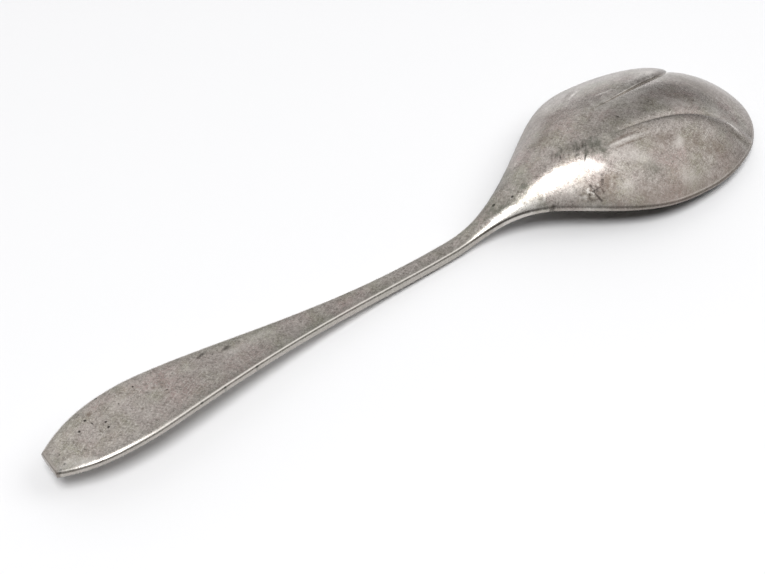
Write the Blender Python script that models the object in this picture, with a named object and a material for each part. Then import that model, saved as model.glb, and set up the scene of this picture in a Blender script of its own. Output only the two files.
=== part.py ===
"""Sugar spoon with a shell bowl, modelled as it lies on a table, back up.

Metres, +Z up, table at Z = 0. +X runs from the square end of the handle to the tip of the bowl.
A station is a distance along the spoon from the square end. A half width is measured from the
middle line, and a share of it runs from 0 on that line to 1 at the edge.
"""

from math import pi, sin

import bmesh
import bpy

# Plan of the handle, seen from above
HANDLE_LENGTH = 0.0800  # square end to the place where the stem starts to flare
HANDLE_WIDEST_AT = 0.0160  # station of the widest place
HANDLE_WIDTH = 0.0121
END_WIDTH = 0.0049  # square cut across the end
STEM_WIDTH = 0.0031  # narrowest place
SWELL_FULLNESS = 2.7  # exponent of the rounded outline between the end and the widest place
TAPER_RISE, TAPER_FALL = 1.4, 3.1  # exponents of the long taper from there to the stem

# Plan of the bowl
FLARE_LENGTH = 0.0450  # start of the flare to the widest place of the bowl
FRONT_LENGTH = 0.0250  # widest place to the tip
BOWL_WIDTH = 0.0356
FRONT_FULLNESS = 2.07  # exponent of the rounded outline from there to the tip; 2 is an ellipse
SEAM_SETBACK = 0.0170  # start of the flare to the soldered seam
SOLDER_GAP = 0.0003

# Side view: heights of the lower edge of the spoon above the table
END_LIFT = 0.0046  # at the square end
ARCH_LIFT = 0.0059  # at the widest place of the handle
TOUCH_SETBACK = 0.0025  # the stem's front touches the table this far behind the flare
RIM_RISE = 0.0073  # the rim's line at the start of the flare; at the tip it touches the table
RIM_BOW = 0.8  # exponent of that line, which bows up a little between its ends
NECK_LENGTH = 0.0240  # from the touching place to where the edge has joined the rim's line

# Thickness
END_EDGE = 0.0011  # side wall of the handle at the square end
STEM_EDGE = 0.0015  # side wall at the stem
RIM_EDGE = 0.0009  # rim of the bowl beside the neck
TIP_EDGE = 0.0006  # rim from the widest place to the tip
BOWL_WALL = 0.0012  # at the deepest place of the bowl
END_CROWN, STEM_CROWN = 0.0006, 0.0011  # rounding of the handle's front, below its side walls
BACK_CROWN = 0.00025  # rounding of the handle's back

# Sloped margin of the handle's back
END_BEVEL, STEM_BEVEL = 0.0013, 0.0005  # width towards the end and towards the stem
BEVEL_FROM, BEVEL_TO = 0.0100, 0.0450  # stations between which it narrows
BEVEL_SLOPE = 0.3  # rise for its width

# Depth of the bowl
BOWL_DEPTH = 0.0091  # crest of the back above the rim
CREST_SETBACK = 0.0400  # start of the flare to the crest
CREST_LEAD = 0.0020  # the back starts to round this far behind the flare
HOLLOW_SETBACK = 0.0060  # start of the flare to the start of the hollow
NOSE_FULLNESS = 2.4  # exponent of the crest's fall towards the tip

# Flutes of the shell: two creases on each side, running from the neck to the rim
INNER_RIM_BACK = 0.0068  # where the inner crease meets the rim, behind the tip
INNER_DEPTH, OUTER_DEPTH = 0.0006, 0.00012
INNER_START, OUTER_START = 0.55, 0.80  # shares of the seam's half width
INNER_BEND = (0.84, -0.11)  # bend of a crease, as shares of its run along and across the spoon
OUTER_BEND = (0.54, 0.23)
CORNER_BEND = (0.50, 0.30)
INNER_GROWTH = (0.15, 0.65)  # shares of a crease's length where it begins and has its full depth
OUTER_GROWTH = (0.50, 0.95)
RIM_SHARE = 0.8  # of a crease's depth that is left at the rim
MIDDLE_FULLNESS = 6  # exponent of the middle lobe's fall to its creases
LOBE_SKEW = 0.36  # under 1, a side lobe stands up steeply from its inner crease and falls off slowly
SIDE_RISE, OUTER_RISE = 0.0005, 0.0001  # of the side and outer lobes above the smooth dome

# Facets
SWELL_STEPS, TAPER_STEPS, NECK_STEPS = 10, 26, 14
BACK_STEPS, FRONT_STEPS = 8, 8  # across the handle
LOBE_STEPS = (6, 8, 8)  # across half the bowl: middle, side and outer lobe
RAY_STEPS = 24  # along each ray of the shell
END_SPREAD = 1.6  # above 1, sections crowd towards the square end
LOBE_SPREAD = 1.6  # above 1, rays crowd towards the crease that a side lobe stands up from
SHARP_ANGLE = 0.6  # radians between faces that meet in a hard edge

WIDEST_AT = HANDLE_LENGTH + FLARE_LENGTH
SPOON_LENGTH = WIDEST_AT + FRONT_LENGTH
SEAM_AT = HANDLE_LENGTH + SEAM_SETBACK
CREST_AT = HANDLE_LENGTH + CREST_SETBACK
TOUCH_AT = HANDLE_LENGTH - TOUCH_SETBACK


def within(low, value, high):
    return max(low, min(high, value))


def ease(station, start, length):
    """Smooth rise from 0 to 1 over a length."""
    t = within(0, (station - start) / length, 1)
    return t * t * (3 - 2 * t)


def soft_ease(station, start, length):
    """Rise from 0 to 1 whose curvature also starts and ends at nothing."""
    t = within(0, (station - start) / length, 1)
    return t**3 * (10 - 15 * t + 6 * t * t)


def half_width(station):
    if station < HANDLE_WIDEST_AT:
        short = (1 - station / HANDLE_WIDEST_AT) ** SWELL_FULLNESS
        return (HANDLE_WIDTH - (HANDLE_WIDTH - END_WIDTH) * short) / 2
    if station < HANDLE_LENGTH:
        t = (station - HANDLE_WIDEST_AT) / (HANDLE_LENGTH - HANDLE_WIDEST_AT)
        return (STEM_WIDTH + (HANDLE_WIDTH - STEM_WIDTH) * (1 - t**TAPER_RISE) ** TAPER_FALL) / 2
    if station < WIDEST_AT:
        flare = soft_ease(station, HANDLE_LENGTH, FLARE_LENGTH)
        return (STEM_WIDTH + (BOWL_WIDTH - STEM_WIDTH) * flare) / 2
    t = within(0, (station - WIDEST_AT) / FRONT_LENGTH, 1)
    return BOWL_WIDTH / 2 * (1 - t**FRONT_FULLNESS) ** (1 / FRONT_FULLNESS)


def lower_edge(station):
    """Height of the lower edge: an arch over the handle, a dip at the stem, then the rim's line."""
    if station < HANDLE_WIDEST_AT:
        return ARCH_LIFT - (ARCH_LIFT - END_LIFT) * (1 - station / HANDLE_WIDEST_AT) ** 2
    dip = ease(station, HANDLE_WIDEST_AT, TOUCH_AT - HANDLE_WIDEST_AT)
    handle = ARCH_LIFT + (STEM_CROWN - ARCH_LIFT) * dip
    rim = RIM_RISE * ((SPOON_LENGTH - station) / (SPOON_LENGTH - HANDLE_LENGTH)) ** RIM_BOW
    return handle + (rim - handle) * soft_ease(station, TOUCH_AT, NECK_LENGTH)


def edge_thickness(station):
    handle = END_EDGE + (STEM_EDGE - END_EDGE) * ease(station, 0, TOUCH_AT)
    rim_from = TOUCH_AT + NECK_LENGTH
    thinning = within(0, (station - rim_from) / (WIDEST_AT - rim_from), 1)
    rim = RIM_EDGE + (TIP_EDGE - RIM_EDGE) * thinning
    return handle + (rim - handle) * ease(station, TOUCH_AT, NECK_LENGTH)


def bevel_width(station):
    return END_BEVEL + (STEM_BEVEL - END_BEVEL) * ease(station, BEVEL_FROM, BEVEL_TO - BEVEL_FROM)


def nose(station):
    """1 up to the crest of the bowl, then falling to 0 at the tip."""
    return 1 - within(0, (station - CREST_AT) / (SPOON_LENGTH - CREST_AT), 1) ** NOSE_FULLNESS


def handle_share(station):
    """1 on the handle, fading to 0 at the seam, so that margin and crown run out on the neck."""
    return 1 - ease(station, HANDLE_LENGTH, SEAM_SETBACK)


def back_height(station, across):
    """Height of the back (the upper side) at a distance across from the middle line."""
    half = half_width(station)
    share = within(0, abs(across) / half, 1) if half else 1
    start = HANDLE_LENGTH - CREST_LEAD
    crown = BOWL_DEPTH * soft_ease(station, start, CREST_AT - start) * nose(station) * (1 - share**2)
    margin = BEVEL_SLOPE * min(half * (1 - share), bevel_width(station))
    handle = (margin + BACK_CROWN * (1 - share**2)) * handle_share(station)
    return lower_edge(station) + edge_thickness(station) + crown + handle


def front_height(station, across):
    """Height of the front (the underside), which is crowned on the handle and hollow in the bowl."""
    half = half_width(station)
    share = within(0, abs(across) / half, 1) if half else 1
    start = HANDLE_LENGTH + HOLLOW_SETBACK
    depth = BOWL_DEPTH + RIM_EDGE - BOWL_WALL
    hollow = depth * ease(station, start, CREST_AT - start) * nose(station)
    belly = END_CROWN + (STEM_CROWN - END_CROWN) * ease(station, 0, TOUCH_AT)
    return lower_edge(station) + (hollow - belly * handle_share(station)) * (1 - share**2)


def ray_place(ray, run):
    """Station and distance across of a point on a ray of the shell.

    Ray 0 is the middle line, 1 the inner crease, 2 the outer crease and 3 the corner of the seam.
    run goes from 0 at the seam to 1 at the rim, along a curve with one bend.
    """
    side = abs(ray)
    lobe = min(int(side), 2)
    part = side - lobe
    start = SEAM_AT + SOLDER_GAP / 2
    inner_end, outer_end = SPOON_LENGTH - INNER_RIM_BACK, WIDEST_AT
    if lobe == 0:
        end = SPOON_LENGTH - INNER_RIM_BACK * part**2
    else:
        ends = (inner_end, outer_end, start)
        end = ends[lobe - 1] + (ends[lobe] - ends[lobe - 1]) * part
    shares = (0, INNER_START, OUTER_START, 1)
    across = half_width(start) * (shares[lobe] + (shares[lobe + 1] - shares[lobe]) * part)
    bends = ((INNER_BEND[0], 0), INNER_BEND, OUTER_BEND, CORNER_BEND)
    along_bend, across_bend = (a + (b - a) * part for a, b in zip(bends[lobe], bends[lobe + 1]))
    reach = half_width(end) - across
    bend, far = 2 * run * (1 - run), run * run
    station = start + (end - start) * (along_bend * bend + far)
    across += reach * (across_bend * bend + far)
    return station, across if ray >= 0 else -across


def flute_height(ray, run):
    """Height of the fluted shell over its smooth dome: lowest in a crease, highest along a lobe."""
    side = abs(ray)
    lobe = min(int(side), 2)
    part = side - lobe
    outward = within(0, side - 1, 1)
    depths = (INNER_DEPTH, INNER_DEPTH, OUTER_DEPTH, 0)
    depth = depths[lobe] + (depths[lobe + 1] - depths[lobe]) * part
    if lobe == 0:
        height = -depth * part**MIDDLE_FULLNESS
    else:
        # Sharp at the inner crease, rounded at the outer one
        pillow = sin(pi * (part**LOBE_SKEW if lobe == 1 else part))
        pillow *= 1 - outward * (1 - pillow)
        height = (SIDE_RISE, OUTER_RISE)[lobe - 1] * pillow - depth * (1 - pillow)
    begin, full = (a + (b - a) * outward for a, b in zip(INNER_GROWTH, OUTER_GROWTH))
    growth = ease(run, begin, full - begin)
    easing_off = 1 - (1 - RIM_SHARE) * ease(run, full, 1 - full)
    return height * growth * easing_off


def silver(name, colour, roughness):
    material = bpy.data.materials.new(name)
    material.use_nodes = True
    shader = material.node_tree.nodes["Principled BSDF"]
    shader.inputs["Base Color"].default_value = (*colour, 1)
    shader.inputs["Metallic"].default_value = 1
    shader.inputs["Roughness"].default_value = roughness
    return material


def add_piece(name, mesh_builder, material, parent):
    mesh = bpy.data.meshes.new(name)
    mesh_builder.normal_update()
    mesh_builder.to_mesh(mesh)
    mesh_builder.free()
    mesh.shade_smooth()
    mesh.set_sharp_from_angle(angle=SHARP_ANGLE)
    mesh.materials.append(material)
    piece = bpy.data.objects.new(name, mesh)
    piece.parent = parent
    bpy.context.scene.collection.objects.link(piece)


def vertex(builder, station, across, height):
    return builder.verts.new((station - SPOON_LENGTH / 2, across, height))


def spread(start, stop, steps, power=1):
    """Values from start towards stop, without stop, closer together at the start for a higher power."""
    return [start + (stop - start) * (i / steps) ** power for i in range(steps)]


def handle_section(builder, station):
    """One closed ring round the handle: across the back, then back again across the front."""
    half = half_width(station)
    flat = half - bevel_width(station)
    backs = [-half, *spread(-flat, flat, BACK_STEPS), flat, half]
    fronts = [*spread(half, -half, FRONT_STEPS), -half]
    ring = [vertex(builder, station, y, back_height(station, y)) for y in backs]
    return ring + [vertex(builder, station, y, front_height(station, y)) for y in fronts]


def make_handle():
    """Rings lofted from the square end to the seam, with a flat face at both ends."""
    stop = SEAM_AT - SOLDER_GAP / 2
    stations = spread(0, HANDLE_WIDEST_AT, SWELL_STEPS, END_SPREAD)
    stations += spread(HANDLE_WIDEST_AT, TOUCH_AT, TAPER_STEPS)
    stations += [*spread(TOUCH_AT, stop, NECK_STEPS), stop]
    builder = bmesh.new()
    rings = [handle_section(builder, station) for station in stations]
    for ring, following in zip(rings, rings[1:]):
        for i, corner in enumerate(ring):
            builder.faces.new((ring[i - 1], corner, following[i], following[i - 1]))
    builder.faces.new(rings[0][::-1])
    builder.faces.new(rings[-1])
    bmesh.ops.recalc_face_normals(builder, faces=builder.faces)
    return builder


def shell_rays():
    middle, *sides = LOBE_STEPS
    half = spread(0, 1, middle)
    for lobe, steps in enumerate(sides, 1):
        half += spread(lobe, lobe + 1, steps, LOBE_SPREAD)
    half.append(len(LOBE_STEPS))
    return [-ray for ray in half[:0:-1]] + half


def make_bowl():
    """The shell: rays fanned from the seam to the rim, once for the back and once for the hollow."""
    builder = bmesh.new()
    runs = [i / RAY_STEPS for i in range(RAY_STEPS + 1)]
    sheets = []
    for height in (back_height, front_height):
        sheet = []
        for ray in shell_rays():
            # All points of an outermost ray fall on the corner of the seam, so it has only one
            places = [(ray_place(ray, run), run) for run in (runs if abs(ray) < 3 else runs[:1])]
            sheet.append(
                [vertex(builder, s, y, height(s, y) + flute_height(ray, run)) for (s, y), run in places]
            )
            if abs(ray) == 3:
                sheet[-1] *= len(runs)
        sheets.append(sheet)
    back, front = sheets
    loops = []
    for sheet in sheets:
        for left, right in zip(sheet, sheet[1:]):
            for i in range(RAY_STEPS):
                loops.append((left[i], left[i + 1], right[i + 1], right[i]))
    for i in range(len(back) - 1):
        for end in (0, -1):
            loops.append((back[i][end], back[i + 1][end], front[i + 1][end], front[i][end]))
    for loop in loops:
        corners = list(dict.fromkeys(loop))
        if len(corners) > 2:
            builder.faces.new(corners)
    bmesh.ops.recalc_face_normals(builder, faces=builder.faces)
    return builder


for leftover in list(bpy.data.objects):
    bpy.data.objects.remove(leftover)

spoon = bpy.data.objects.new("spoon", None)
bpy.context.scene.collection.objects.link(spoon)
add_piece("handle", make_handle(), silver("worn_silver_handle", (0.52, 0.50, 0.47), 0.34), spoon)
add_piece("bowl", make_bowl(), silver("worn_silver_bowl", (0.50, 0.48, 0.46), 0.30), spoon)
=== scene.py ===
from math import pi, radians

import bpy
from mathutils import Matrix, Vector


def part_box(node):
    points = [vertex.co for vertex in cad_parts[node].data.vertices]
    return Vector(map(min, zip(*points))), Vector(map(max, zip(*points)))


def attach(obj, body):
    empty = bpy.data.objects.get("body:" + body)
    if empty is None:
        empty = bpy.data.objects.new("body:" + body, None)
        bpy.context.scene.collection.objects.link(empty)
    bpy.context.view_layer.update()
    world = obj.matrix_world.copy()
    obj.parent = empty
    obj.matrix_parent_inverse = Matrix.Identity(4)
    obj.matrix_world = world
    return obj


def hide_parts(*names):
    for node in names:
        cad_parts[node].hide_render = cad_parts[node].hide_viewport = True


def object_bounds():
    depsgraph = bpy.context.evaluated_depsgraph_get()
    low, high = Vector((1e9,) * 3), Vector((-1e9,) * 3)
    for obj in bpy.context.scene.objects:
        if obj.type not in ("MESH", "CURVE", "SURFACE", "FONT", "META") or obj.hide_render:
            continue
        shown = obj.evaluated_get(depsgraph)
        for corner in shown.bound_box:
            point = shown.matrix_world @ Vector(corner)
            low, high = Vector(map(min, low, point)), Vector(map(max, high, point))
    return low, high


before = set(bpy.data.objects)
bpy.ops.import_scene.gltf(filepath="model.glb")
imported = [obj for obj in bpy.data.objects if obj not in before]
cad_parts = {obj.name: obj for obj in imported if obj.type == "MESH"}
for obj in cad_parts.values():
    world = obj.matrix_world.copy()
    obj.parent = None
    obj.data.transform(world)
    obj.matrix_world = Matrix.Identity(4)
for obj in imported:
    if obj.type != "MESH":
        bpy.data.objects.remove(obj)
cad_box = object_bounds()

# Handle
# A flat bar of nickel silver, struck in a die, filed to a slim stem and silver plated. Its back is
# plain with a rounded-over margin, its end is cut square, and its neck is soldered to the bowl.

# Metres. A station is a distance along the spoon from the square end of the handle.
spoon_low, spoon_high = cad_box
handle_low, handle_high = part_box("handle")
seam_at = (handle_high.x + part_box("bowl")[0].x) / 2 - spoon_low.x
handle_length = 0.0800  # square end to where the stem starts to flare
flare_length = 0.0450  # from there to the widest place of the bowl
rim_edge, bowl_wall, bowl_depth = 0.0009, 0.0012, 0.0091
touch_at = handle_length - 0.0025  # the stem's front touches the table here

outline_sizes = {
    "Handle length": handle_length,
    "Handle widest at": 0.0160,
    "Handle width": handle_high.y - handle_low.y,
    "End width": 0.0049,
    "Stem width": 0.0031,
    "Swell fullness": 2.7,
    "Taper rise": 1.4,
    "Taper fall": 3.1,
    "Bowl widest at": handle_length + flare_length,
    "Bowl width": spoon_high.y - spoon_low.y,
    "Spoon length": spoon_high.x - spoon_low.x,
    "Front fullness": 2.07,
}
form_sizes = {
    **outline_sizes,
    "End lift": 0.0046,
    "Arch lift": 0.0059,
    "Touch at": touch_at,
    "Rim from": touch_at + 0.0240,
    "Rim rise": 0.0073,
    "Rim bow": 0.8,
    "End edge": 0.0011,
    "Stem edge": 0.0015,
    "Rim edge": rim_edge,
    "Tip edge": 0.0006,
    "Back crown": 0.00025,
    "End crown": 0.0006,
    "Stem crown": 0.0011,
    "Margin from": 0.0100,
    "Margin to": 0.0450,
    "End margin": 0.0010,
    "Stem margin": 0.0005,
    "Margin slope": 0.3,
    "Crown from": handle_length - 0.0020,
    "Hollow from": handle_length + 0.0060,
    "Crest at": handle_length + 0.0400,
    "Back depth": bowl_depth,
    "Hollow depth": bowl_depth + rim_edge - bowl_wall,
    "Nose fullness": 2.4,
    "Seam at": seam_at,
    "Square end X": spoon_low.x,
    "Edge round": 0.0003,
    "Dent size": 0.0140,
    "Dent depth": 0.00005,
}
MATH, RANGE, GROUP = "ShaderNodeMath", "ShaderNodeMapRange", "GeometryNodeGroup"
FLOAT, GEOMETRY = "NodeSocketFloat", "NodeSocketGeometry"


def add(tree, kind, inputs=(), **settings):
    """Adds a node with its settings, fills its inputs by order or by name, and returns its output."""
    node = tree.nodes.new(kind)
    for name, value in settings.items():
        setattr(node, name, value)
    for key, value in inputs.items() if isinstance(inputs, dict) else enumerate(inputs):
        if isinstance(value, bpy.types.NodeSocket):
            tree.links.new(value, node.inputs[key])
        elif value is not None:
            node.inputs[key].default_value = value
    return next((socket for socket in node.outputs if socket.enabled), None)


def new_tree(name, numbers, results):
    """A geometry tree with named number inputs, and those inputs' sockets by name."""
    tree = bpy.data.node_groups.new(name, "GeometryNodeTree")
    for label, number in numbers.items():
        socket = tree.interface.new_socket(label, in_out="INPUT", socket_type=FLOAT)
        socket.default_value = number
    for label, kind in results.items():
        tree.interface.new_socket(label, in_out="OUTPUT", socket_type=kind)
    return tree, {socket.name: socket for socket in add(tree, "NodeGroupInput").node.outputs}


# Plan outline: swelling end, long taper, flare of the neck, elliptic front of the bowl
outline, size = new_tree("spoon outline", {"Station": 0, **outline_sizes}, {"Half width": FLOAT})
station = size["Station"]
swell = add(outline, RANGE, (station, 0, size["Handle widest at"], 1, 0))
swell = add(outline, MATH, (swell, size["Swell fullness"]), operation="POWER")
width = add(outline, RANGE, (swell, 0, 1, size["Handle width"], size["End width"]))
taper = add(outline, RANGE, (station, size["Handle widest at"], size["Handle length"], 0, 1))
taper = add(outline, MATH, (taper, size["Taper rise"]), operation="POWER")
taper = add(outline, MATH, (1, taper), operation="SUBTRACT")
taper = add(outline, MATH, (taper, size["Taper fall"]), operation="POWER")
width = add(outline, RANGE, (taper, 0, 1, size["Stem width"], width))
flare = add(
    outline,
    RANGE,
    (station, size["Handle length"], size["Bowl widest at"], 0, 1),
    interpolation_type="SMOOTHERSTEP",
)
width = add(outline, RANGE, (flare, 0, 1, width, size["Bowl width"]))
front = add(outline, RANGE, (station, size["Bowl widest at"], size["Spoon length"], 0, 1))
front = add(outline, MATH, (front, size["Front fullness"]), operation="POWER")
front = add(outline, MATH, (1, front), operation="SUBTRACT")
rounding = add(outline, MATH, (1, size["Front fullness"]), operation="DIVIDE")
front = add(outline, MATH, (front, rounding), operation="POWER")
width = add(outline, MATH, (width, front), operation="MULTIPLY")
half = add(outline, MATH, (width, 0.5), operation="MULTIPLY")
add(outline, "NodeGroupOutput", (half,))

# Form: heights of the back and of the front at any place of the outline
form, size = new_tree(
    "spoon form",
    {"Station": 0, "Across": 0, **form_sizes},
    {"Back": FLOAT, "Front": FLOAT, "Edge": FLOAT},
)
station, across = size["Station"], size["Across"]
slope_step = 0.00002  # metres either side of a station, to read the outline's slope
least_steepness = 1e-8  # keeps the division for the edge's distance safe on the middle line
places = (
    station,
    add(form, MATH, (station, slope_step), operation="ADD"),
    add(form, MATH, (station, slope_step), operation="SUBTRACT"),
)
plan = {name: size[name] for name in outline_sizes}
half, ahead, behind = (
    add(form, GROUP, {**plan, "Station": place}, node_tree=outline) for place in places
)
side = add(form, MATH, (across,), operation="ABSOLUTE")
share = add(form, MATH, (side, half), operation="DIVIDE", use_clamp=True)
share_squared = add(form, MATH, (share, share), operation="MULTIPLY")
dome = add(form, MATH, (1, share_squared), operation="SUBTRACT")

# Distance from the edge, from the outline's own slope, and how far the edge is rounded away there;
# the finish needs that distance too, in millimetres
half_squared, ahead_squared, behind_squared, side_squared = (
    add(form, MATH, (reach, reach), operation="MULTIPLY") for reach in (half, ahead, behind, side)
)
lean = add(form, MATH, (ahead_squared, behind_squared), operation="SUBTRACT")
lean = add(form, MATH, (lean, 4 * slope_step), operation="DIVIDE")
steepness = add(form, MATH, (lean, lean, side_squared), operation="MULTIPLY_ADD")
steepness = add(form, MATH, (steepness, least_steepness), operation="ADD")
steepness = add(form, MATH, (steepness,), operation="SQRT")
inside = add(form, MATH, (half_squared, side_squared), operation="SUBTRACT")
inside = add(form, MATH, (inside, steepness), operation="DIVIDE")
inside = add(form, MATH, (inside, 0.5), operation="MULTIPLY")  # half, as both are squares
inside = add(form, MATH, (inside, station), operation="MINIMUM")
turn = add(form, RANGE, (inside, 0, size["Edge round"], 1, 0))
turn = add(form, MATH, (turn, turn), operation="MULTIPLY")
turn = add(form, MATH, (1, turn), operation="SUBTRACT")
turn = add(form, MATH, (turn,), operation="SQRT")
rounding = add(form, RANGE, (turn, 0, 1, size["Edge round"], 0))
edge_distance = add(form, MATH, (inside, 1000), operation="MULTIPLY")

# Lower edge in side view: arched handle, dip at the stem, rim that runs down to the tip
toward_end = add(form, RANGE, (station, 0, size["Handle widest at"], 1, 0))
toward_end = add(form, MATH, (toward_end, toward_end), operation="MULTIPLY")
lower = add(form, RANGE, (toward_end, 0, 1, size["Arch lift"], size["End lift"]))
lower = add(
    form,
    RANGE,
    (station, size["Handle widest at"], size["Touch at"], lower, size["Stem crown"]),
    interpolation_type="SMOOTHSTEP",
)
rim = add(form, RANGE, (station, size["Handle length"], size["Spoon length"], 1, 0))
rim = add(form, MATH, (rim, size["Rim bow"]), operation="POWER")
rim = add(form, MATH, (rim, size["Rim rise"]), operation="MULTIPLY")
lower = add(
    form,
    RANGE,
    (station, size["Touch at"], size["Rim from"], lower, rim),
    interpolation_type="SMOOTHERSTEP",
)
edge = add(
    form,
    RANGE,
    (station, 0, size["Touch at"], size["End edge"], size["Stem edge"]),
    interpolation_type="SMOOTHSTEP",
)
edge = add(
    form,
    RANGE,
    (station, size["Touch at"], size["Rim from"], edge, size["Rim edge"]),
    interpolation_type="SMOOTHSTEP",
)
edge = add(form, RANGE, (station, size["Rim from"], size["Bowl widest at"], edge, size["Tip edge"]))

# Crown of the back, hollow of the front, margin of the handle and the small dents of long use
nose = add(form, RANGE, (station, size["Crest at"], size["Spoon length"], 0, 1))
nose = add(form, MATH, (nose, size["Nose fullness"]), operation="POWER")
nose = add(form, MATH, (1, nose), operation="SUBTRACT")
domed = add(form, MATH, (nose, dome), operation="MULTIPLY")
crown = add(
    form,
    RANGE,
    (station, size["Crown from"], size["Crest at"], 0, size["Back depth"]),
    interpolation_type="SMOOTHERSTEP",
)
crown = add(form, MATH, (crown, domed), operation="MULTIPLY")
hollow = add(
    form,
    RANGE,
    (station, size["Hollow from"], size["Crest at"], 0, size["Hollow depth"]),
    interpolation_type="SMOOTHSTEP",
)
hollow = add(form, MATH, (hollow, domed), operation="MULTIPLY")
on_handle = add(
    form,
    RANGE,
    (station, size["Handle length"], size["Seam at"], 1, 0),
    interpolation_type="SMOOTHSTEP",
)
belly = add(
    form,
    RANGE,
    (station, 0, size["Touch at"], size["End crown"], size["Stem crown"]),
    interpolation_type="SMOOTHSTEP",
)
belly = add(form, MATH, (belly, on_handle), operation="MULTIPLY")
belly = add(form, MATH, (belly, dome), operation="MULTIPLY")
margin_width = add(
    form,
    RANGE,
    (station, size["Margin from"], size["Margin to"], size["End margin"], size["Stem margin"]),
    interpolation_type="SMOOTHSTEP",
)
margin_rise = add(form, MATH, (margin_width, size["Margin slope"]), operation="MULTIPLY")
margin = add(form, MATH, (half, side), operation="SUBTRACT")
margin = add(form, RANGE, (margin, 0, margin_width, 1, 0))
margin = add(form, MATH, (margin, margin), operation="MULTIPLY")
margin = add(form, RANGE, (margin, 0, 1, margin_rise, 0))
margin = add(form, MATH, (dome, size["Back crown"], margin), operation="MULTIPLY_ADD")
margin = add(form, MATH, (margin, on_handle), operation="MULTIPLY")
place = add(form, "ShaderNodeCombineXYZ", (station, across))
fineness = add(form, MATH, (1, size["Dent size"]), operation="DIVIDE")
dent = add(form, "ShaderNodeTexNoise", {"Vector": place, "Scale": fineness, "Detail": 1.0})
dent = add(form, MATH, (dent, 0.5), operation="SUBTRACT")
lower = add(form, MATH, (dent, size["Dent depth"], lower), operation="MULTIPLY_ADD")
back = lower
for layer in (edge, crown, margin):
    back = add(form, MATH, (back, layer), operation="ADD")
back = add(form, MATH, (back, rounding), operation="SUBTRACT")
under = add(form, MATH, (lower, hollow), operation="ADD")
under = add(form, MATH, (under, belly), operation="SUBTRACT")
under = add(form, MATH, (under, rounding), operation="ADD")
add(form, "NodeGroupOutput", (back, under, edge_distance))

# Skin of the handle: rings from the square end to the seam, with a point in each end face
handle_rows, handle_ring = 280, 129
wall_steps = 4  # facets over the height of a side wall
handle_tree, size = new_tree("handle", form_sizes, {"Handle": GEOMETRY})
grid = add(
    handle_tree,
    "GeometryNodeMeshGrid",
    {"Vertices X": handle_rows, "Vertices Y": handle_ring},
)
chart = add(handle_tree, "ShaderNodeSeparateXYZ", (grid.node.outputs["UV Map"],)).node.outputs
first, last = 1 / (handle_rows - 1), 1 - 1 / (handle_rows - 1)
along = add(handle_tree, RANGE, (chart["X"], first, last, pi, 0))
along = add(handle_tree, MATH, (along,), operation="COSINE")
station = add(handle_tree, RANGE, (along, -1, 1, 0, size["Seam at"]))
end_open = add(handle_tree, RANGE, (chart["X"], 0, first, 0, 1))
seam_open = add(handle_tree, RANGE, (chart["X"], last, 1, 1, 0))
ring_open = add(handle_tree, MATH, (end_open, seam_open), operation="MULTIPLY")


def round_trip(tree, loop, start, wall):
    """How far out a loop stands that runs over the back, down an edge and home along the front, from
    start to 1, and on which side it is: 0 on the back, 1 on the front."""
    out = add(tree, RANGE, (loop, 0, 0.5 - wall, start, 1))
    home = add(tree, RANGE, (loop, 0.5, 1 - wall, 1, start))
    turned = add(tree, RANGE, (loop, 0.5 - wall, 0.5, 0, 1))
    closed = add(tree, RANGE, (loop, 1 - wall, 1, 0, 1))
    reach = add(tree, MATH, (out, home), operation="MINIMUM")
    reach = add(tree, MATH, (reach, pi / 2), operation="MULTIPLY")
    reach = add(tree, MATH, (reach,), operation="SINE")
    return reach, add(tree, MATH, (turned, closed), operation="SUBTRACT")


share, turned = round_trip(handle_tree, chart["Y"], -1, wall_steps / (handle_ring - 1))
plan = {name: size[name] for name in outline_sizes}
half = add(handle_tree, GROUP, {**plan, "Station": station}, node_tree=outline)
across = add(handle_tree, MATH, (half, share), operation="MULTIPLY")
across = add(handle_tree, MATH, (across, ring_open), operation="MULTIPLY")
shape = {name: size[name] for name in form_sizes}
heights = add(
    handle_tree, GROUP, {**shape, "Station": station, "Across": across}, node_tree=form
).node.outputs
height = add(handle_tree, RANGE, (turned, 0, 1, heights["Back"], heights["Front"]))
middle = add(handle_tree, RANGE, (0.5, 0, 1, heights["Back"], heights["Front"]))
height = add(handle_tree, RANGE, (ring_open, 0, 1, middle, height))


def close_skin(tree, grid, edge_distance, size, station, across, height, material):
    """Puts a chart's points in place, joins those that meet and gives the skin its finish."""
    join_distance = 1e-7
    x = add(tree, MATH, (station, size["Square end X"]), operation="ADD")
    place = add(tree, "ShaderNodeCombineXYZ", (x, across, height))
    skin = add(
        tree,
        "GeometryNodeStoreNamedAttribute",
        {"Geometry": grid, "Name": "edge_distance", "Value": edge_distance},
    )
    skin = add(tree, "GeometryNodeSetPosition", {"Geometry": skin, "Position": place})
    skin = add(tree, "GeometryNodeMergeByDistance", {"Geometry": skin, "Distance": join_distance})
    skin = add(tree, "GeometryNodeSetMaterial", {"Geometry": skin, "Material": material})
    skin = add(tree, "GeometryNodeRealizeInstances", (skin,))
    add(tree, "NodeGroupOutput", (skin,))


def linear(hex_colour):
    """An sRGB hex colour as linear red, green and blue, with full alpha."""
    channels = [int(hex_colour[i : i + 2], 16) / 255 for i in (1, 3, 5)]
    return *(c / 12.92 if c <= 0.04045 else ((c + 0.055) / 1.055) ** 2.4 for c in channels), 1


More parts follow.
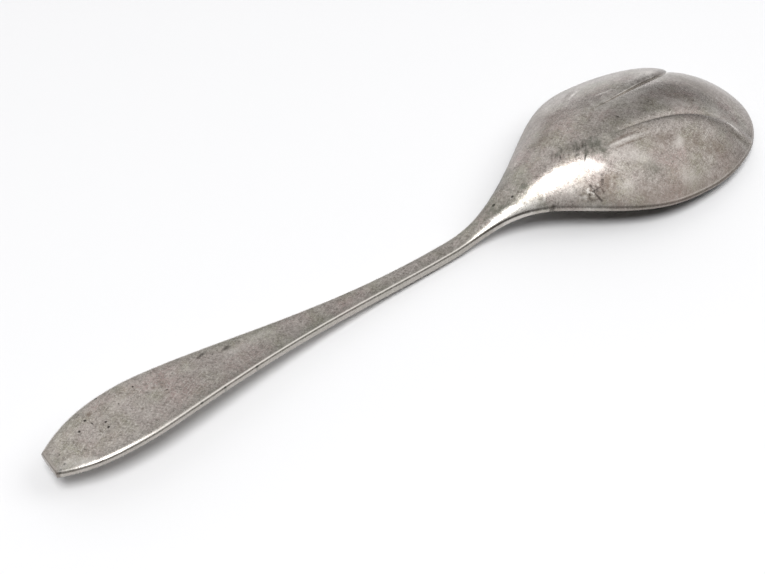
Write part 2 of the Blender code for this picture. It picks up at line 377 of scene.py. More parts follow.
# Silver plate worn by use: grey with brown, pink and greenish tarnish and fine scratches, bright where
# hands and cloths rub the edges. Painted shade darkens the turn of the edges and their turned-under
# side, and the side walls are tinted as painted reflection. The real grain and scratches are
# hundredths of a millimetre wide, too fine for the picture, so both are drawn as coarse as they show.
NOISE, MAPPING = "ShaderNodeTexNoise", "ShaderNodeMapping"
mm = 0.001  # metres
# the fourth colour is the dark of the painted shade along the edges
plate_grey, bare_metal, pits, painted_edge_shade = "#ABA29D", "#F0EBE5", "#26221F", "#3A342F"
green_tarnish, brown_tarnish = "#5E6156", "#6B5B50"
clouds = (  # grain in millimetres, colour, strength
    (18, "#8F837C", 0.40),
    (7, "#A88E8A", 0.45),
    (4.5, "#8E9079", 0.55),
    (1.6, "#DAD3CC", 0.45),
    (0.8, "#6E655F", 0.50),
    (0.40, "#544C46", 0.60),
    (0.20, "#F2EDE6", 0.50),
)
cloud_edge = (0.45, 0.70)  # of the noise, from the outside of a cloud to well inside it
scratches = (  # length and width in millimetres, degrees from the spoon's length, colour, strength
    (3.5, 0.16, 24, "#E9E4DD", 0.30),
    (2.5, 0.14, -48, "#5A524B", 0.40),
)
scratch_edge = (0.62, 0.70)
scratch_height = 2 * mm  # so long that the rounding of the back doesn't cut a scratch short
speck_spacing = 2.6 * mm
speck_edge = (0.04, 0.08)  # shares of the spacing, from the middle of a speck
speck_tint, speck_strength, specks_left_out = "#2E2A26", 0.7, 0.66


def x_of(station):
    """The X of a station that is given in millimetres."""
    return spoon_low.x + mm * station


def tarnish_and_scratches(tree, place):
    """Layers of colour all over a piece: clouds of tarnish, scratches and a few dark specks."""
    layers = []
    for grain, tint, strength in clouds:
        cloud = add(tree, NOISE, {"Vector": place, "Scale": 1 / (mm * grain), "Detail": 3.0})
        layers.append((add(tree, RANGE, (cloud, *cloud_edge, 0, strength)), tint))
    for length, width, turn, tint, strength in scratches:
        grain = (mm * length, mm * width, scratch_height)
        line = add(
            tree, MAPPING, (place, None, (0, 0, radians(turn)), grain), vector_type="TEXTURE"
        )
        line = add(tree, NOISE, {"Vector": line, "Scale": 1.0, "Detail": 1.0})
        layers.append((add(tree, RANGE, (line, *scratch_edge, 0, strength)), tint))
    cells = add(tree, "ShaderNodeTexVoronoi", {"Vector": place, "Scale": 1 / speck_spacing})
    speck = add(tree, RANGE, (cells.node.outputs["Distance"], *speck_edge, speck_strength, 0))
    kept = add(tree, MATH, (cells.node.outputs["Color"], specks_left_out), operation="GREATER_THAN")
    layers.append((add(tree, MATH, (speck, kept), operation="MULTIPLY"), speck_tint))
    return layers


mark_tilt = (-0.4, -0.2)  # upward part of the surface's direction, where marks end and are full
fray_grain, fray_edge, fray_reach = 0.9 * mm, (0.2, 0.8), 0.5  # reach as a share of a half size
decay_grain = 1.1 * mm
pitted_edge, flecked_edge = (0.53, 0.60), (0.36, 0.43)  # of the noise, above and below its middle
streak_grain, streak_turn, streak_edge = (3.6 * mm, 0.7 * mm, 2 * mm), 47, (0.48, 0.62)


def frayed_marks(tree, place, upward, marks):
    """Layers for marks on the back: ellipses with frayed outlines, filled evenly or in a pattern."""
    fray = add(tree, NOISE, {"Vector": place, "Scale": 1 / fray_grain, "Detail": 3.0})
    fray = add(tree, RANGE, (fray, *fray_edge, -fray_reach, fray_reach))
    decay = add(
        tree,
        NOISE,
        {"Vector": place, "Scale": 1 / decay_grain, "Detail": 4.0, "Roughness": 0.65},
    )
    streak = add(
        tree,
        MAPPING,
        (place, None, (0, 0, radians(streak_turn)), streak_grain),
        vector_type="TEXTURE",
    )
    streak = add(tree, NOISE, {"Vector": streak, "Scale": 1.0, "Detail": 3.0})
    patterns = {
        "even": 1,
        "pitted": add(tree, RANGE, (decay, *pitted_edge, 0, 1)),
        "flecked": add(tree, RANGE, (decay, *flecked_edge, 1, 0)),
        "streaked": add(tree, RANGE, (streak, *streak_edge, 0, 1)),
    }
    layers = []
    for tint, strength, solid, pattern, spots in marks:
        strength = add(tree, RANGE, (upward, *mark_tilt, 0, strength))
        strength = add(tree, MATH, (strength, patterns[pattern]), operation="MULTIPLY")
        for station, across, length, width, turn in spots:
            centre = (x_of(station), mm * across, 0)
            reach = (mm * length / 2, mm * width / 2, 1)  # the same at every height
            mark = add(
                tree, MAPPING, (place, centre, (0, 0, radians(turn)), reach), vector_type="TEXTURE"
            )
            mark = add(tree, "ShaderNodeVectorMath", (mark,), operation="LENGTH").node.outputs["Value"]
            mark = add(tree, MATH, (mark, fray), operation="ADD")
            layers.append((add(tree, RANGE, (mark, solid, 1, strength, 0)), tint))
    return layers


# Along the edges: upward parts of the surface's direction, millimetres in from the edge, strengths
# The side walls' tint is painted reflection of what they face.
wall_reflection_tilt, wall_reflection_strength = (0.1, 0.4), 0.5
# The dark line where the top turns down into the wall is painted shade, darker along the neck.
upper_edge_shade_tilt, top_tilt, upper_edge_shade_strength, neck_edge_shade_strength = (0.2, 0.4), (0.5, 0.7), 0.5, 0.9
# Stations between which the painted shade along the neck's edge comes and goes.
neck_shade_from, neck_shade_to = (83, 88), (93, 98)  # stations between which dirt beside the joint comes and goes
# The dark band on the turned-under edge is painted shade.
lower_edge_shade_tilt, lower_edge_shade_reach, lower_edge_shade_strength = (-0.5, -0.1), (0.3, 0.6), 0.6
rubbed_tint, rubbed_tilt, rubbed_reach, rubbed_strength = "#F1ECE6", (0.65, 0.8), (0.2, 0.5), 0.8
# The square end's face is darkened as painted shade.
end_shade_tint, end_stations, end_shade_strength = "#857D76", (0.3, 0.6), 0.7


def edge_wear(tree, place, upward, patina, wall_reflection_tint):
    """Layers along the edges: patina on the back, the side walls tinted as painted reflection, painted
    shade along the turn of the edges and on their turned-under side, a line on top that wear has made
    bright, and painted shade on the face of the square end."""
    along = add(tree, "ShaderNodeSeparateXYZ", (place,)).node.outputs["X"]
    edge = add(tree, "ShaderNodeAttribute", attribute_name="edge_distance").node.outputs["Fac"]
    patina_tint, patina_strength, patina_reach, *patina_growth = patina
    patina = add(tree, RANGE, (edge, 0, patina_reach, patina_strength, 0))
    growth = add(tree, RANGE, (along, *map(x_of, patina_growth), 0, 1))
    patina = add(tree, MATH, (patina, growth), operation="MULTIPLY")
    # painted reflection: side walls take the tint of what they mirror
    wall = add(tree, RANGE, (upward, *wall_reflection_tilt, wall_reflection_strength, 0))
    # painted shade: a dark line where the top turns down into the wall, darker along the neck
    strength = add(
        tree,
        RANGE,
        (along, *map(x_of, neck_shade_from), upper_edge_shade_strength, neck_edge_shade_strength),
    )
    strength = add(tree, RANGE, (along, *map(x_of, neck_shade_to), strength, upper_edge_shade_strength))
    upper_edge_shade = add(tree, RANGE, (upward, *upper_edge_shade_tilt, 0, strength))
    below_top = add(tree, RANGE, (upward, *top_tilt, 1, 0))
    upper_edge_shade = add(tree, MATH, (upper_edge_shade, below_top), operation="MULTIPLY")
    # painted shade on the turned-under edge
    lower_edge_shade = add(tree, RANGE, (upward, *lower_edge_shade_tilt, lower_edge_shade_strength, 0))
    at_edge = add(tree, RANGE, (edge, *lower_edge_shade_reach, 1, 0))
    lower_edge_shade = add(tree, MATH, (lower_edge_shade, at_edge), operation="MULTIPLY")
    bright_line = add(tree, RANGE, (edge, *rubbed_reach, rubbed_strength, 0))
    on_top = add(tree, RANGE, (upward, *rubbed_tilt, 0, 1))
    bright_line = add(tree, MATH, (bright_line, on_top), operation="MULTIPLY")
    # painted shade on the face of the square end
    end_face_shade = add(tree, RANGE, (along, *map(x_of, end_stations), end_shade_strength, 0))
    return [
        (patina, patina_tint),
        (wall, wall_reflection_tint),
        (upper_edge_shade, painted_edge_shade),
        (lower_edge_shade, painted_edge_shade),
        (bright_line, rubbed_tint),
        (end_face_shade, end_shade_tint),
    ]


# Satin surface that use leaves on polished plate
satin_grain, satin_edge, satin_roughness = 0.35 * mm, (0.3, 0.7), (0.25, 0.32)
satin_depth, satin_strength = 0.04 * mm, 0.16


def worn_silver(name, patina, wall_reflection_tint, marks, creases=()):
    """The worn plate of one piece. Patina is a colour, a strength, a reach in from the edge and the
    stations between which it comes up. A crease is an attribute, a colour and a strength."""
    material = bpy.data.materials.new(name)
    material.use_nodes = True
    tree = material.node_tree
    coordinates = add(tree, "ShaderNodeTexCoord").node.outputs
    place = coordinates["Object"]
    upward = add(tree, "ShaderNodeSeparateXYZ", (coordinates["Normal"],)).node.outputs["Z"]
    layers = tarnish_and_scratches(tree, place)
    for attribute, tint, strength in creases:
        crease = add(tree, "ShaderNodeAttribute", attribute_name=attribute).node.outputs["Fac"]
        layers.append((add(tree, RANGE, (crease, 0, 1, 0, strength)), tint))
    layers += frayed_marks(tree, place, upward, marks)
    layers += edge_wear(tree, place, upward, patina, wall_reflection_tint)
    colour = linear(plate_grey)
    for amount, tint in layers:
        colour = add(tree, "ShaderNodeMix", {0: amount, 6: colour, 7: linear(tint)}, data_type="RGBA")
    satin = add(tree, NOISE, {"Vector": place, "Scale": 1 / satin_grain, "Detail": 2.0})
    rough = add(tree, RANGE, (satin, *satin_edge, *satin_roughness))
    bump = add(
        tree,
        "ShaderNodeBump",
        {"Strength": satin_strength, "Distance": satin_depth, "Height": satin},
    )
    shader = tree.nodes["Principled BSDF"]
    shader.inputs["Metallic"].default_value = 1
    tree.links.new(colour, shader.inputs["Base Color"])
    tree.links.new(rough, shader.inputs["Roughness"])
    tree.links.new(bump, shader.inputs["Normal"])
    return material


# Marks of age, placed one by one. Each group is a colour, a strength, the share of a mark that is
# solid, a
# pattern, and places: station, across, length and width in millimetres, degrees of turn.
# Some groups below are painted shade and painted highlights, as their comments say.
neck_marks = (  # over the seam, so both pieces have them: green stem, bright ridge
    (green_tarnish, 0.35, 0.0, "even", ((88.0, 0.6, 36.0, 9.0, 0),)),
    # painted shade on the far flank of the neck's highlight, in the green of the tarnish
    (green_tarnish, 0.55, 0.2, "even", ((90.2, -1.0, 11.0, 1.6, -17),)),
    # painted highlight along the neck's near side
    (bare_metal, 0.95, 0.5, "even", ((91.8, -3.0, 12.0, 2.2, -23),)),
)
handle_marks = (
    *neck_marks,
    # Small pits
    (pits, 0.9, 0.6, "even", (
        (8.2, 2.7, 0.6, 0.5, 0),
        (10.6, 0.4, 0.5, 0.5, 0),
        (10.5, -0.7, 0.6, 0.5, 30),
        (6.5, 1.5, 0.5, 0.5, 0),
        (1.8, -2.0, 0.5, 0.4, 0),
        (0.4, -2.5, 1.4, 0.5, 0),
        (17.5, 3.8, 0.5, 0.4, 0),
        (8.8, 1.6, 1.2, 0.25, 95),
        (11.7, 5.5, 0.7, 0.5, 20),
        (24.8, -5.1, 0.7, 0.4, 0),
        (29.6, -4.6, 0.6, 0.4, 0),
        (36.2, -3.8, 0.6, 0.4, 0),
        (92.7, -0.8, 0.6, 0.5, 0),
        (89.8, 0.7, 0.7, 0.6, 0),
    )),
    # Stains
    (pits, 0.65, 0.2, "even", (
        (34.2, 2.1, 2.6, 1.1, 10),
        (29.8, 3.0, 3.4, 0.8, 15),
    )),
    (brown_tarnish, 0.65, 0.2, "even", (
        (9.2, 3.4, 1.6, 1.2, 0),
        (16.5, -1.0, 1.0, 0.8, 0),
        (20.0, 1.5, 0.9, 0.7, 0),
    )),
    (green_tarnish, 0.6, 0.1, "even", (
        (95.1, -1.2, 2.4, 1.8, 0),
        (88.8, 0.4, 3.0, 1.6, 0),
    )),
    # Lighter places: painted sheen along the middle of the back, and by the square end a bare patch
    # that also paints the near margin's highlight on to the corner
    (bare_metal, 0.3, 0.0, "even", ((38.0, 1.0, 14.0, 3.0, 5),)),
    (bare_metal, 0.55, 0.0, "even", ((3.8, -3.3, 8.0, 2.4, -30),)),
)
# The handle's wall tint lightens its side walls as painted reflection of the bright table.
handle_patina, handle_wall_reflection_tint = ("#777B74", 0.35, 2.5, 0, 1), "#C6C1BA"
handle_silver = worn_silver(
    "worn silver plate, handle", handle_patina, handle_wall_reflection_tint, handle_marks
)
close_skin(handle_tree, grid, heights["Edge"], size, station, across, height, handle_silver)

hard_edge = radians(40)  # facets that meet at a larger angle keep a hard line between them


def make_piece(name, tree, numbers, node):
    """Puts the tree's result, as a plain mesh, in place of a node of the frame."""
    piece = bpy.data.objects.new(name, bpy.data.meshes.new(name))
    bpy.context.scene.collection.objects.link(piece)
    modifier = piece.modifiers.new(name, "NODES")
    modifier.node_group = tree
    for socket in tree.interface.items_tree:
        if socket.in_out == "INPUT":
            modifier[socket.identifier] = numbers[socket.name]
    evaluated = piece.evaluated_get(bpy.context.evaluated_depsgraph_get())
    mesh = bpy.data.meshes.new_from_object(evaluated)
    piece.modifiers.remove(modifier)
    piece.data = mesh
    mesh.shade_smooth()
    mesh.set_sharp_from_angle(angle=hard_edge)
    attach(piece, "root")
    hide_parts(node)


make_piece("silver_handle", handle_tree, form_sizes, "handle")

# Bowl
# A thin sheet of the same metal, pressed over a shell-shaped die. Four creases fan out from the
# heel to the rim; the plate is bright on the worn heel and stained along the creases, with painted
# shade beside the creases and painted highlights along their ridges.

bowl_sizes = {
    **form_sizes,
    "Near crease back": 0.0068,
    "Far crease back": 0.0062,
    "Inner crease depth": 0.0006,
    "Outer crease depth": 0.00012,
    "Side lobe rise": 0.0005,
    "Outer lobe rise": 0.0001,
    "Side lobe skew": 0.40,
    "Middle fullness": 6.0,
    "Middle spread": 1.5,
    "Side spread": 1.8,
    "Inner bend along": 0.84,
    "Outer bend along": 0.54,
    "Corner bend along": 0.50,
    "Inner bend across": -0.11,
    "Outer bend across": 0.23,
    "Corner bend across": 0.30,
    "Inner seam share": 0.55,
    "Outer seam share": 0.80,
    "Inner crease from": 0.15,
    "Inner crease full": 0.65,
    "Outer crease from": 0.50,
    "Outer crease full": 0.95,
    "Crease at rim": 0.8,
    "Shade and grime share": 0.08,
    "Shade and grime from": 0.22,
    "Shade and grime full": 0.50,
    "Highlight share": 0.09,
    "Highlight growth": 0.15,
    "Near highlight from": 0.70,
    "Far highlight from": 0.30,
}
lobe_count, rays_in_lobe, ray_rows = 3, 28, 221
bowl_tree, size = new_tree("shell bowl", bowl_sizes, {"Bowl": GEOMETRY})
grid = add(
    bowl_tree,
    "GeometryNodeMeshGrid",
    {"Vertices X": 2 * lobe_count * rays_in_lobe + 1, "Vertices Y": ray_rows},
)
chart = add(bowl_tree, "ShaderNodeSeparateXYZ", (grid.node.outputs["UV Map"],)).node.outputs

# Rays: 0 is the middle line, 1 the inner crease, 2 the outer crease, 3 the corner of the seam
ray = add(bowl_tree, RANGE, (chart["X"], 0, 1, -lobe_count, lobe_count))
hand = add(bowl_tree, MATH, (ray,), operation="SIGN")
ray = add(bowl_tree, MATH, (ray,), operation="ABSOLUTE")
lobe_middle = add(bowl_tree, RANGE, (ray, 0, 1, 1, 0))
lobe_middle = add(bowl_tree, MATH, (lobe_middle, size["Middle spread"]), operation="POWER")
lobe_parts = [add(bowl_tree, MATH, (1, lobe_middle), operation="SUBTRACT")]
for lobe in range(1, lobe_count):
    part = add(bowl_tree, RANGE, (ray, lobe, lobe + 1, 0, 1))
    lobe_parts.append(add(bowl_tree, MATH, (part, size["Side spread"]), operation="POWER"))


def over_lobes(number, parts, ends):
    """A number that goes over, across each of some lobes in turn, to the end value of that lobe."""
    for part, end in zip(parts, ends):
        number = add(bowl_tree, RANGE, (part, 0, 1, number, end))
    return number


run, turned = round_trip(bowl_tree, chart["Y"], 0, wall_steps / (ray_rows - 1))
plan = {name: size[name] for name in outline_sizes}
crease_back = add(bowl_tree, RANGE, (hand, -1, 1, size["Near crease back"], size["Far crease back"]))
tip_back = add(bowl_tree, MATH, (0, crease_back), operation="SUBTRACT")
tip_part = add(bowl_tree, MATH, (lobe_parts[0], lobe_parts[0]), operation="MULTIPLY")
crease_end = add(bowl_tree, MATH, (tip_part, tip_back, size["Spoon length"]), operation="MULTIPLY_ADD")
ray_end = over_lobes(crease_end, lobe_parts[1:], (size["Bowl widest at"], size["Seam at"]))
bend_along = over_lobes(
    size["Inner bend along"], lobe_parts[1:], (size["Outer bend along"], size["Corner bend along"])
)
bend_across = over_lobes(
    0, lobe_parts, [size[f"{line} bend across"] for line in ("Inner", "Outer", "Corner")]
)
seam_share = over_lobes(0, lobe_parts, (size["Inner seam share"], size["Outer seam share"], 1))
seam_half = add(bowl_tree, GROUP, {**plan, "Station": size["Seam at"]}, node_tree=outline)
rim_half = add(bowl_tree, GROUP, {**plan, "Station": ray_end}, node_tree=outline)
ray_start = add(bowl_tree, MATH, (seam_half, seam_share), operation="MULTIPLY")

# A ray is a curve with one bend point, from its start on the seam to its end on the rim
far = add(bowl_tree, MATH, (run, run), operation="MULTIPLY")
bend = add(bowl_tree, MATH, (run, far), operation="SUBTRACT")
bend = add(bowl_tree, MATH, (bend, 2), operation="MULTIPLY")
travel = [
    add(bowl_tree, MATH, (reach, bend, far), operation="MULTIPLY_ADD")
    for reach in (bend_along, bend_across)
]
station = add(bowl_tree, RANGE, {0: travel[0], 3: size["Seam at"], 4: ray_end}, clamp=False)
across = add(bowl_tree, RANGE, {0: travel[1], 3: ray_start, 4: rim_half}, clamp=False)
across = add(bowl_tree, MATH, (across, hand), operation="MULTIPLY")

# Flutes: the middle lobe sinks to its creases, a side lobe stands up steeply and falls off slowly
middle_sink = add(bowl_tree, MATH, (lobe_parts[0], size["Middle fullness"]), operation="POWER")
skewed = add(bowl_tree, MATH, (lobe_parts[1], size["Side lobe skew"]), operation="POWER")
pillow = add(bowl_tree, MATH, (skewed, lobe_parts[2]), operation="ADD")
pillow = add(bowl_tree, MATH, (pillow, pi), operation="MULTIPLY")
pillow = add(bowl_tree, MATH, (pillow,), operation="SINE")
pillow = add(bowl_tree, MATH, (pillow,), operation="ABSOLUTE")
inner, outer = size["Inner crease depth"], size["Outer crease depth"]
side_depth = add(bowl_tree, RANGE, (lobe_parts[1], 0, 1, inner, outer))
side_depth = add(bowl_tree, RANGE, (lobe_parts[2], 0, 1, side_depth, 0))
on_side = add(bowl_tree, MATH, (ray, 1), operation="GREATER_THAN")
squared = add(bowl_tree, MATH, (pillow, pillow), operation="MULTIPLY")
pillow = add(bowl_tree, RANGE, (ray, 1, 2, pillow, squared))
on_outer = add(bowl_tree, MATH, (ray, 2), operation="GREATER_THAN")
rise = add(bowl_tree, RANGE, (on_outer, 0, 1, size["Side lobe rise"], size["Outer lobe rise"]))
side_height = add(bowl_tree, MATH, (pillow, rise), operation="MULTIPLY")
side_sink = add(bowl_tree, MATH, (1, pillow), operation="SUBTRACT")
side_drop = add(bowl_tree, MATH, (side_sink, side_depth), operation="MULTIPLY")
side_height = add(bowl_tree, MATH, (side_height, side_drop), operation="SUBTRACT")
middle_drop = add(bowl_tree, MATH, (middle_sink, inner), operation="MULTIPLY")
middle_height = add(bowl_tree, MATH, (0, middle_drop), operation="SUBTRACT")
flute = add(bowl_tree, RANGE, (on_side, 0, 1, middle_height, side_height))
begins, full = (
    add(bowl_tree, RANGE, (ray, 1, 2, size[f"Inner crease {end}"], size[f"Outer crease {end}"]))
    for end in ("from", "full")
)
growth = add(bowl_tree, RANGE, (run, begins, full, 0, 1), interpolation_type="SMOOTHSTEP")
easing = add(
    bowl_tree, RANGE, (run, full, 1, 1, size["Crease at rim"]), interpolation_type="SMOOTHSTEP"
)
growth = add(bowl_tree, MATH, (growth, easing), operation="MULTIPLY")
flute = add(bowl_tree, MATH, (flute, growth), operation="MULTIPLY")
shape = {name: size[name] for name in form_sizes}
heights = add(
    bowl_tree, GROUP, {**shape, "Station": station, "Across": across}, node_tree=form
).node.outputs
height = add(bowl_tree, RANGE, (turned, 0, 1, heights["Back"], heights["Front"]))
height = add(bowl_tree, MATH, (height, flute), operation="ADD")

# Inner creases: painted shade with some grime on both sides of the line, and near the rim a painted
# highlight along the middle lobe's edge
crease_shade_and_grime = add(bowl_tree, RANGE, (on_side, 0, 1, lobe_middle, lobe_parts[1]))
crease_shade_and_grime = add(bowl_tree, RANGE, (crease_shade_and_grime, 0, size["Shade and grime share"], 1, 0))
shade_and_grime_growth = add(bowl_tree, RANGE, (run, size["Shade and grime from"], size["Shade and grime full"], 0, 1))
crease_shade_and_grime = add(bowl_tree, MATH, (crease_shade_and_grime, shade_and_grime_growth), operation="MULTIPLY")
# painted highlight where the middle lobe's edge catches the light
crease_highlight = add(bowl_tree, RANGE, (lobe_middle, 0, size["Highlight share"], 1, 0))
off_side = add(bowl_tree, MATH, (1, on_side), operation="SUBTRACT")
crease_highlight = add(bowl_tree, MATH, (crease_highlight, off_side), operation="MULTIPLY")
bright_line = add(bowl_tree, RANGE, (hand, -1, 1, size["Near highlight from"], size["Far highlight from"]))
bright_line = add(bowl_tree, MATH, (run, bright_line), operation="SUBTRACT")
bright_line = add(bowl_tree, RANGE, (bright_line, 0, size["Highlight growth"], 0, 1))
crease_highlight = add(bowl_tree, MATH, (crease_highlight, bright_line), operation="MULTIPLY")
for name, amount in (("crease_shade_and_grime", crease_shade_and_grime), ("painted_crease_highlight", crease_highlight)):
    grid = add(
        bowl_tree,
        "GeometryNodeStoreNamedAttribute",
        {"Geometry": grid, "Name": name, "Value": amount},
    )

# painted shade with some grime beside the creases, and the painted highlight along the middle lobe's
# edge
bowl_creases = (("crease_shade_and_grime", "#4A433D", 0.6), ("painted_crease_highlight", bare_metal, 0.75))
bowl_marks = (
    *neck_marks,
    # Brown stains on the heel, beside the creases and along the rim
    (brown_tarnish, 0.45, 0.0, "even", (
        (108.8, 10.2, 8.0, 5.5, 30),
        (104.0, 4.0, 6.0, 4.5, 0),
        (104.0, -8.4, 7.0, 5.0, -45),
        (109.5, 8.0, 9.0, 4.0, 20),
        (119.0, -16.2, 24.0, 5.0, -8),
        (132.5, -13.8, 8.0, 5.5, -35),
        (138.5, -12.3, 3.0, 1.6, -40),
        (106.6, -10.2, 4.0, 3.0, -30),
        (112.9, -13.8, 7.0, 3.0, -30),
        (122.0, -8.2, 11.0, 3.2, -14),
        (128.0, -11.0, 8.0, 6.0, -30),
    )),
    (brown_tarnish, 0.2, 0.2, "even", ((121.0, -12.0, 30.0, 13.0, -18),)),
    (brown_tarnish, 0.55, 0.3, "even", ((142.0, 0.0, 23.0, 9.0, -48),)),
    # Lighter places: broad ones on the lobes, narrow ones along the creases, and patches
    (bare_metal, 0.6, 0.0, "even", (
        (123.5, 3.6, 25.0, 6.5, 4),
        (133.0, 7.0, 8.0, 3.0, 30),
        (103.0, -10.0, 8.0, 1.8, -30),
    )),
    # painted highlight along the ridge beside the near crease
    (bare_metal, 0.55, 0.0, "even", ((114.8, -5.5, 13.5, 0.9, -8),)),
    # painted highlights: lines along the creases' ridges, and the end of the heel's highlight
    (bare_metal, 0.75, 0.2, "even", (
        (120.5, 6.6, 6.0, 0.6, -8),
        (117.7, 11.4, 6.0, 0.8, 25),
        (107.0, -6.2, 5.5, 2.6, -48),
        (139.0, -9.9, 5.5, 1.0, -63),
    )),
    # lighter patches; the one by the near crease's end paints light where the shading is dark
    (bare_metal, 0.45, 0.0, "even", (
        (130.0, 6.9, 10.0, 2.6, 12),
        (138.0, -6.3, 9.0, 4.5, -40),
        (131.0, -3.2, 10.0, 3.2, -22),
        (143.0, -9.6, 4.0, 3.0, -50),
        (138.6, -13.9, 4.5, 2.4, -60),
        (124.5, -9.8, 3.6, 2.2, 30),
    )),
    # light patches, one of them the painted halo below the heel's highlight
    (bare_metal, 0.3, 0.0, "even", (
        (114.5, -8.6, 11.0, 3.0, -34),
        (101.5, -6.6, 7.0, 3.0, -30),
        (122.5, -15.2, 6.0, 4.0, -20),
        (113.1, 13.0, 8.0, 2.5, 35),
        (133.4, 9.0, 6.0, 2.0, -20),
        (130.0, 7.2, 11.0, 3.0, 12),
        (110.6, -11.6, 4.0, 3.0, 0),
    )),
    # Green tarnish round the bright heel; some of it is painted shade that trims the heel's highlight
    # to its shape
    (green_tarnish, 0.4, 0.0, "even", ((116.5, -12.0, 6.0, 4.0, -20),)),
    (green_tarnish, 0.5, 0.0, "even", (
        (108.8, -3.4, 7.5, 4.0, -25),
        (109.6, -3.2, 6.0, 4.0, -50),
        (106.0, -1.2, 6.0, 2.6, -15),
        (103.2, -0.6, 3.0, 1.6, 0),
        (114.0, -3.8, 6.0, 2.4, -10),
        (109.9, -5.4, 2.5, 2.0, -40),
        (107.6, -4.0, 5.0, 1.8, -30),
    )),
    # Brown lines beside the creases: grime, and painted shade at the creases' feet
    (brown_tarnish, 0.6, 0.1, "even", (
        (107.6, -8.9, 4.8, 3.6, -30),
        (117.7, 12.6, 10.0, 1.4, 29),
        (138.2, -11.4, 5.0, 0.7, -66),
        (115.0, -4.9, 10.0, 0.9, -2),
        (115.0, -6.3, 8.0, 0.5, -8),
    )),
    # Cracks in the plate, and the notch at the seam
    (pits, 0.8, 0.3, "even", (
        (117.0, -0.8, 1.6, 0.5, -60),
        (106.4, -4.2, 2.0, 0.4, 38),
        (103.0, -1.4, 1.6, 0.4, 60),
        (104.8, -8.4, 2.0, 0.4, -69),
        (105.1, -8.9, 2.4, 0.4, -9),
        (105.0, -9.7, 2.4, 0.4, -67),
        (103.9, -8.6, 1.6, 0.4, -75),
        (97.6, -6.4, 2.0, 1.0, 0),
    )),
    # Etched streaks above the heel, and the flaked patch below it
    (pits, 0.65, 0.0, "streaked", (
        (107.2, -3.0, 9.0, 4.4, -25),
        (103.4, -0.9, 4.5, 2.6, -25),
    )),
    (pits, 0.65, 0.3, "pitted", (
        (104.4, -8.6, 6.5, 4.6, -45),
        (107.4, -8.6, 3.4, 3.0, 0),
    )),
    (bare_metal, 0.75, 0.3, "flecked", ((104.0, -8.6, 6.0, 4.2, -45),)),
    (bare_metal, 0.55, 0.1, "even", (
        (103.0, -8.5, 1.4, 0.6, -30),
        (102.3, -8.2, 1.0, 0.5, -60),
    )),
)
# The bowl's wall tint darkens its rim wall as painted shade, the shaded table it mirrors.
bowl_patina, bowl_wall_reflection_tint = ("#7F766F", 0.45, 4.5, 97, 112), "#908C86"
bowl_silver = worn_silver(
    "worn silver plate, bowl", bowl_patina, bowl_wall_reflection_tint, bowl_marks, bowl_creases
)
close_skin(bowl_tree, grid, heights["Edge"], size, station, across, height, bowl_silver)
make_piece("shell_bowl", bowl_tree, bowl_sizes, "bowl")

# Table
# A sheet of smooth white card, wide enough that its edges stay out of every view. It lies a hair under
# the spoon, so that the two never share a face; being matt, it keeps only the spoon's soft shadow.

table_half, table_drop = 3.0, 0.00003
corner_signs = ((-1, -1), (1, -1), (1, 1), (-1, 1))
corners = [(x * table_half, y * table_half, -table_drop) for x, y in corner_signs]
table_mesh = bpy.data.meshes.new("table")
table_mesh.from_pydata(corners, [], [(0, 1, 2, 3)])
card = bpy.data.materials.new("white card")
card.use_nodes = True
shader = card.node_tree.nodes["Principled BSDF"]
shader.inputs["Base Color"].default_value = linear("#E4E4E5")
shader.inputs["Roughness"].default_value = 0.9
shader.inputs["Specular IOR Level"].default_value = 0.1
table_mesh.materials.append(card)
table = bpy.data.objects.new("table", table_mesh)
bpy.context.scene.collection.objects.link(table)

# Light
# A long softbox over the camera's right shoulder and the walls of a plain room, which the silver
# mirrors. The table is lit by two broad lamps and by the bright far side of the room.

softbox_across = Vector((0.78, -0.63, 0))
lamps = (  # name, place, width, length, brightness, whether it is mirrored
    ("softbox", (-0.23, -0.49, 1.07), 0.36, 0.86, 8, True),
    ("table light", (-0.29, -0.34, 1.15), 0.60, 0.55, 15.5, False),
    ("side light", (0.61, -0.36, 0.84), 0.75, 0.75, 2.3, False),
)
for name, place, width, length, brightness, mirrored in lamps:
    lamp_data = bpy.data.lights.new(name, "AREA")
    lamp_data.shape = "ELLIPSE"
    lamp_data.size, lamp_data.size_y = width, length
    lamp_data.energy = brightness * pi * (pi * width * length / 4)  # pi times the ellipse's area
    lamp = bpy.data.objects.new(name, lamp_data)
    toward = Vector(place).normalized()
    lengthways = toward.cross(softbox_across).normalized()
    turn = Matrix((lengthways.cross(toward), lengthways, toward)).transposed()
    lamp.matrix_world = Matrix.LocRotScale(Vector(place), turn.to_quaternion(), None)
    lamp.visible_camera = False
    lamp.visible_glossy, lamp.visible_diffuse = mirrored, not mirrored
    bpy.context.scene.collection.objects.link(lamp)
room = bpy.data.worlds.new("plain room")
room.use_nodes = True
tree = room.node_tree
gaze = add(tree, "ShaderNodeTexCoord").node.outputs["Generated"]
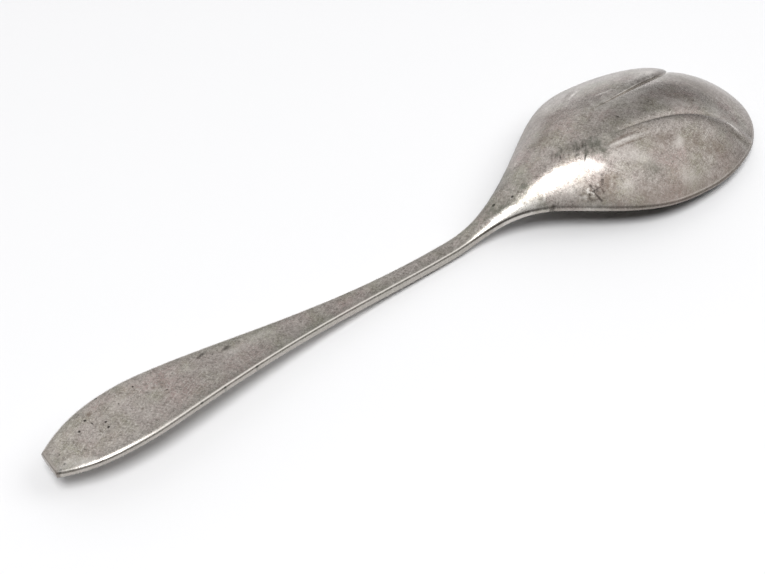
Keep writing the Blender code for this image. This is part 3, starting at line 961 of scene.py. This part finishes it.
walls = (  # direction, cosine where the wall begins and where it is full, brightness
    ((0.45, -0.60, 0.66), 0.55, 0.95, 0.70),
    ((-0.43, 0.76, 0.50), 0.20, 0.95, 0.56),
    ((0.45, 0.85, 0.20), 0.93, 0.99, 0.14),
    ((0.98, 0.01, 0.15), 0.88, 0.98, 0.12),
    ((-0.80, -0.58, 0.15), 0.70, 0.95, 0.35),
)
low_glow, high_glow, glow_heights = 0.19, 0.46, (-0.1, 0.5)
height = add(tree, "ShaderNodeSeparateXYZ", (gaze,)).node.outputs["Z"]
glow = add(tree, RANGE, (height, *glow_heights, low_glow, high_glow))
for toward, begins, full, brightness in walls:
    facing = add(
        tree, "ShaderNodeVectorMath", (gaze, Vector(toward).normalized()), operation="DOT_PRODUCT"
    ).node.outputs["Value"]
    wall = add(tree, RANGE, (facing, begins, full, 0, brightness), interpolation_type="SMOOTHSTEP")
    glow = add(tree, MATH, (wall, glow), operation="ADD")
far_side, far_dark, far_bright = Vector((0.35, 0.80, 0.47)), 0.02, 0.88
backdrop = 0.95  # what the camera itself sees past the table
facing = add(
    tree, "ShaderNodeVectorMath", (gaze, far_side), operation="DOT_PRODUCT"
).node.outputs["Value"]
light = add(tree, RANGE, (facing, 0, 1, far_dark, far_bright))
rays = add(tree, "ShaderNodeLightPath").node.outputs
light = add(tree, RANGE, (rays["Is Glossy Ray"], 0, 1, light, glow))
light = add(tree, RANGE, (rays["Is Camera Ray"], 0, 1, light, backdrop))
tree.links.new(light, tree.nodes["Background"].inputs["Color"])
bpy.context.scene.world = room
bpy.context.scene.view_settings.view_transform = "Standard"

# Camera
# At the photograph's angle: 49 degrees above the table, looking along the spoon and across it. The
# lens and the place are fitted to the outline of the spoon in the photograph.

camera_place, aim_at = Vector((-0.11225, -0.13508, 0.19905)), Vector((-0.00919, 0.00168, 0))
camera_data = bpy.data.cameras.new("camera")
camera_data.lens = 70.588
camera_data.sensor_width = 36
camera_data.clip_start = 0.01
camera = bpy.data.objects.new("camera", camera_data)
camera.location = camera_place
camera.rotation_euler = (aim_at - camera_place).to_track_quat("-Z", "Y").to_euler()
bpy.context.scene.collection.objects.link(camera)
bpy.context.scene.camera = camera
